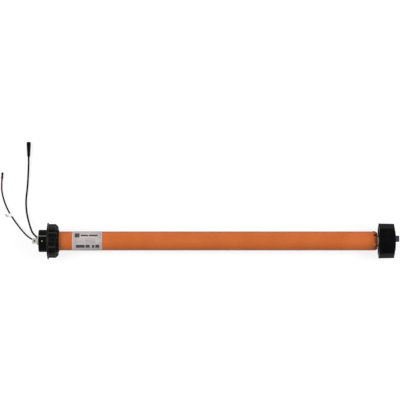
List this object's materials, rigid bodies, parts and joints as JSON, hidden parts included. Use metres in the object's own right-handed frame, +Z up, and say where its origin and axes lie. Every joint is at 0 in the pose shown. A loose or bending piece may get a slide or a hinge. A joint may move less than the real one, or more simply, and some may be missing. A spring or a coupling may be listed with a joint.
{
  "type": "tubular roller blind motor",
  "caption": "Slim tubular blind motor with a square pin head, a free octagonal crown, a driven octagonal wheel with a latch, a power lead and an antenna lead.",
  "frame": {"origin": "bottom centre of the motor's bounding box, without its leads", "axes": "+X along the tube from the pin to the drive wheel, +Y towards the leads, +Z up; a flat of the crown and of the wheel lies down"},
  "size_m": [0.7396, 0.2409, 0.0617],
  "materials": {
    "black_plastic": "moulded black plastic, fine grain",
    "pin_metal": "satin cast metal",
    "plate_metal": "grey painted plate",
    "steel": "plain machined steel",
    "button_plastic": "mid grey plastic",
    "switch_plastic": "black switch body",
    "soft_rubber": "soft black rubber",
    "orange_aluminium": "satin orange coated aluminium",
    "label_foil": "silver grey foil",
    "latch_plastic": "dark blue plastic",
    "bronze": "sintered bronze",
    "gear_plastic": "natural acetal",
    "friction_lining": "brown friction lining",
    "carbon": "pressed carbon",
    "ferrite": "dark grey ferrite",
    "copper": "enamelled copper",
    "cell_can": null,
    "wrap_film": "blue shrink film",
    "foam": "grey foam",
    "carrier_plastic": "grey moulded plastic",
    "board_laminate": "green lacquered laminate",
    "chip_plastic": "black chip bodies",
    "capacitor_can": "drawn aluminium cans",
    "terminal_plastic": "white connector bodies",
    "wire_jacket": "red wire jacket",
    "lead_jacket": "black cable jacket",
    "flag_paper": "white printed film"
  },
  "bodies": {
    "housing": {"head_housing": "black_plastic", "square_pin": "pin_metal", "pin_plate": "plate_metal", "head_screws": "steel", "button_switch": "switch_plastic", "power_gland": "soft_rubber", "antenna_gland": "soft_rubber", "motor_tube": "orange_aluminium", "rating_label": "label_foil", "crown_bearing": "black_plastic", "crown_clip": "black_plastic", "output_bush": "bronze", "gearbox_cap": "black_plastic", "end_rivets": "steel", "ring_gear": "gear_plastic", "motor_plate": "steel", "brake_pad": "friction_lining", "motor_can": "steel", "motor_bearings": "bronze", "motor_end_bell": "black_plastic", "motor_brushes": "carbon", "motor_magnets": "ferrite", "damper_rings": "soft_rubber", "battery_cells": "cell_can", "battery_tabs": "steel", "battery_wrap": "wrap_film", "foam_rings": "foam", "board_carrier": "carrier_plastic", "control_board": "board_laminate", "board_parts": "chip_plastic", "board_capacitors": "capacitor_can", "board_terminals": "terminal_plastic", "motor_wires": "wire_jacket", "power_lead": "lead_jacket", "power_connector": "black_plastic", "antenna_lead": "lead_jacket", "antenna_cap": "soft_rubber", "antenna_flag": "flag_paper"},
    "crown": {"crown_ring": "black_plastic"},
    "output": {"output_shaft": "steel", "drive_wheel": "black_plastic"},
    "latch": {"wheel_latch": "latch_plastic"},
    "button": {"setting_button": "button_plastic"},
    "rotor": {"motor_shaft": "steel", "armature_core": "steel", "armature_windings": "copper", "commutator": "copper", "motor_pinion": "bronze", "brake_disc": "steel"},
    "first_carrier": {"carrier_1": "steel"},
    "second_carrier": {"carrier_2": "steel"},
    "planet_a1_gear": {"planet_a1": "gear_plastic"},
    "planet_a2_gear": {"planet_a2": "gear_plastic"},
    "planet_a3_gear": {"planet_a3": "gear_plastic"},
    "planet_b1_gear": {"planet_b1": "gear_plastic"},
    "planet_b2_gear": {"planet_b2": "gear_plastic"},
    "planet_b3_gear": {"planet_b3": "gear_plastic"},
    "planet_c1_gear": {"planet_c1": "gear_plastic"},
    "planet_c2_gear": {"planet_c2": "gear_plastic"},
    "planet_c3_gear": {"planet_c3": "gear_plastic"}
  },
  "joints": [
    {"name": "output_turn", "type": "hinge", "parent": "housing", "child": "output", "pos_m": [0.30015, 0, 0.03086], "axis": [1, 0, 0], "continuous": true},
    {"name": "crown_turn", "type": "hinge", "parent": "housing", "child": "crown", "pos_m": [-0.3, 0, 0.03086], "axis": [1, 0, 0], "continuous": true},
    {"name": "latch_pull", "type": "slide", "parent": "output", "child": "latch", "axis": [1, 0, 0], "range_m": [0, 0.005]},
    {"name": "button_press", "type": "slide", "parent": "housing", "child": "button", "axis": [0, 0.3827, -0.9239], "range_m": [0, 0.0008], "stiffness_N_per_m": 1500, "springref_m": -0.0003},
    {"name": "second_carrier_turn", "type": "hinge", "parent": "housing", "child": "second_carrier", "pos_m": [0.24, 0, 0.03086], "axis": [1, 0, 0], "continuous": true},
    {"name": "first_carrier_turn", "type": "hinge", "parent": "housing", "child": "first_carrier", "pos_m": [0.24, 0, 0.03086], "axis": [1, 0, 0], "continuous": true},
    {"name": "rotor_turn", "type": "hinge", "parent": "housing", "child": "rotor", "pos_m": [0.2, 0, 0.03086], "axis": [1, 0, 0], "continuous": true},
    {"name": "planet_c1_spin", "type": "hinge", "parent": "output", "child": "planet_c1_gear", "pos_m": [0.24, 0.00762, 0.03401], "axis": [1, 0, 0], "continuous": true},
    {"name": "planet_c2_spin", "type": "hinge", "parent": "output", "child": "planet_c2_gear", "pos_m": [0.24, -0.00655, 0.03588], "axis": [1, 0, 0], "continuous": true},
    {"name": "planet_c3_spin", "type": "hinge", "parent": "output", "child": "planet_c3_gear", "pos_m": [0.24, -0.00108, 0.02268], "axis": [1, 0, 0], "continuous": true},
    {"name": "planet_b1_spin", "type": "hinge", "parent": "second_carrier", "child": "planet_b1_gear", "pos_m": [0.24, 0.00762, 0.03401], "axis": [1, 0, 0], "continuous": true},
    {"name": "planet_b2_spin", "type": "hinge", "parent": "second_carrier", "child": "planet_b2_gear", "pos_m": [0.24, -0.00655, 0.03588], "axis": [1, 0, 0], "continuous": true},
    {"name": "planet_b3_spin", "type": "hinge", "parent": "second_carrier", "child": "planet_b3_gear", "pos_m": [0.24, -0.00108, 0.02268], "axis": [1, 0, 0], "continuous": true},
    {"name": "planet_a1_spin", "type": "hinge", "parent": "first_carrier", "child": "planet_a1_gear", "pos_m": [0.24, 0.00762, 0.03401], "axis": [1, 0, 0], "continuous": true},
    {"name": "planet_a2_spin", "type": "hinge", "parent": "first_carrier", "child": "planet_a2_gear", "pos_m": [0.24, -0.00655, 0.03588], "axis": [1, 0, 0], "continuous": true},
    {"name": "planet_a3_spin", "type": "hinge", "parent": "first_carrier", "child": "planet_a3_gear", "pos_m": [0.24, -0.00108, 0.02268], "axis": [1, 0, 0], "continuous": true}
  ],
  "couplings": [
    {"joint": "second_carrier_turn", "follows": "output_turn", "ratio": 5.5},
    {"joint": "first_carrier_turn", "follows": "output_turn", "ratio": 30.25},
    {"joint": "rotor_turn", "follows": "output_turn", "ratio": 166.38},
    {"joint": "planet_c1_spin", "follows": "output_turn", "ratio": -2.5714},
    {"joint": "planet_c2_spin", "follows": "output_turn", "ratio": -2.5714},
    {"joint": "planet_c3_spin", "follows": "output_turn", "ratio": -2.5714},
    {"joint": "planet_b1_spin", "follows": "output_turn", "ratio": -14.143},
    {"joint": "planet_b2_spin", "follows": "output_turn", "ratio": -14.143},
    {"joint": "planet_b3_spin", "follows": "output_turn", "ratio": -14.143},
    {"joint": "planet_a1_spin", "follows": "output_turn", "ratio": -77.786},
    {"joint": "planet_a2_spin", "follows": "output_turn", "ratio": -77.786},
    {"joint": "planet_a3_spin", "follows": "output_turn", "ratio": -77.786}
  ]
}
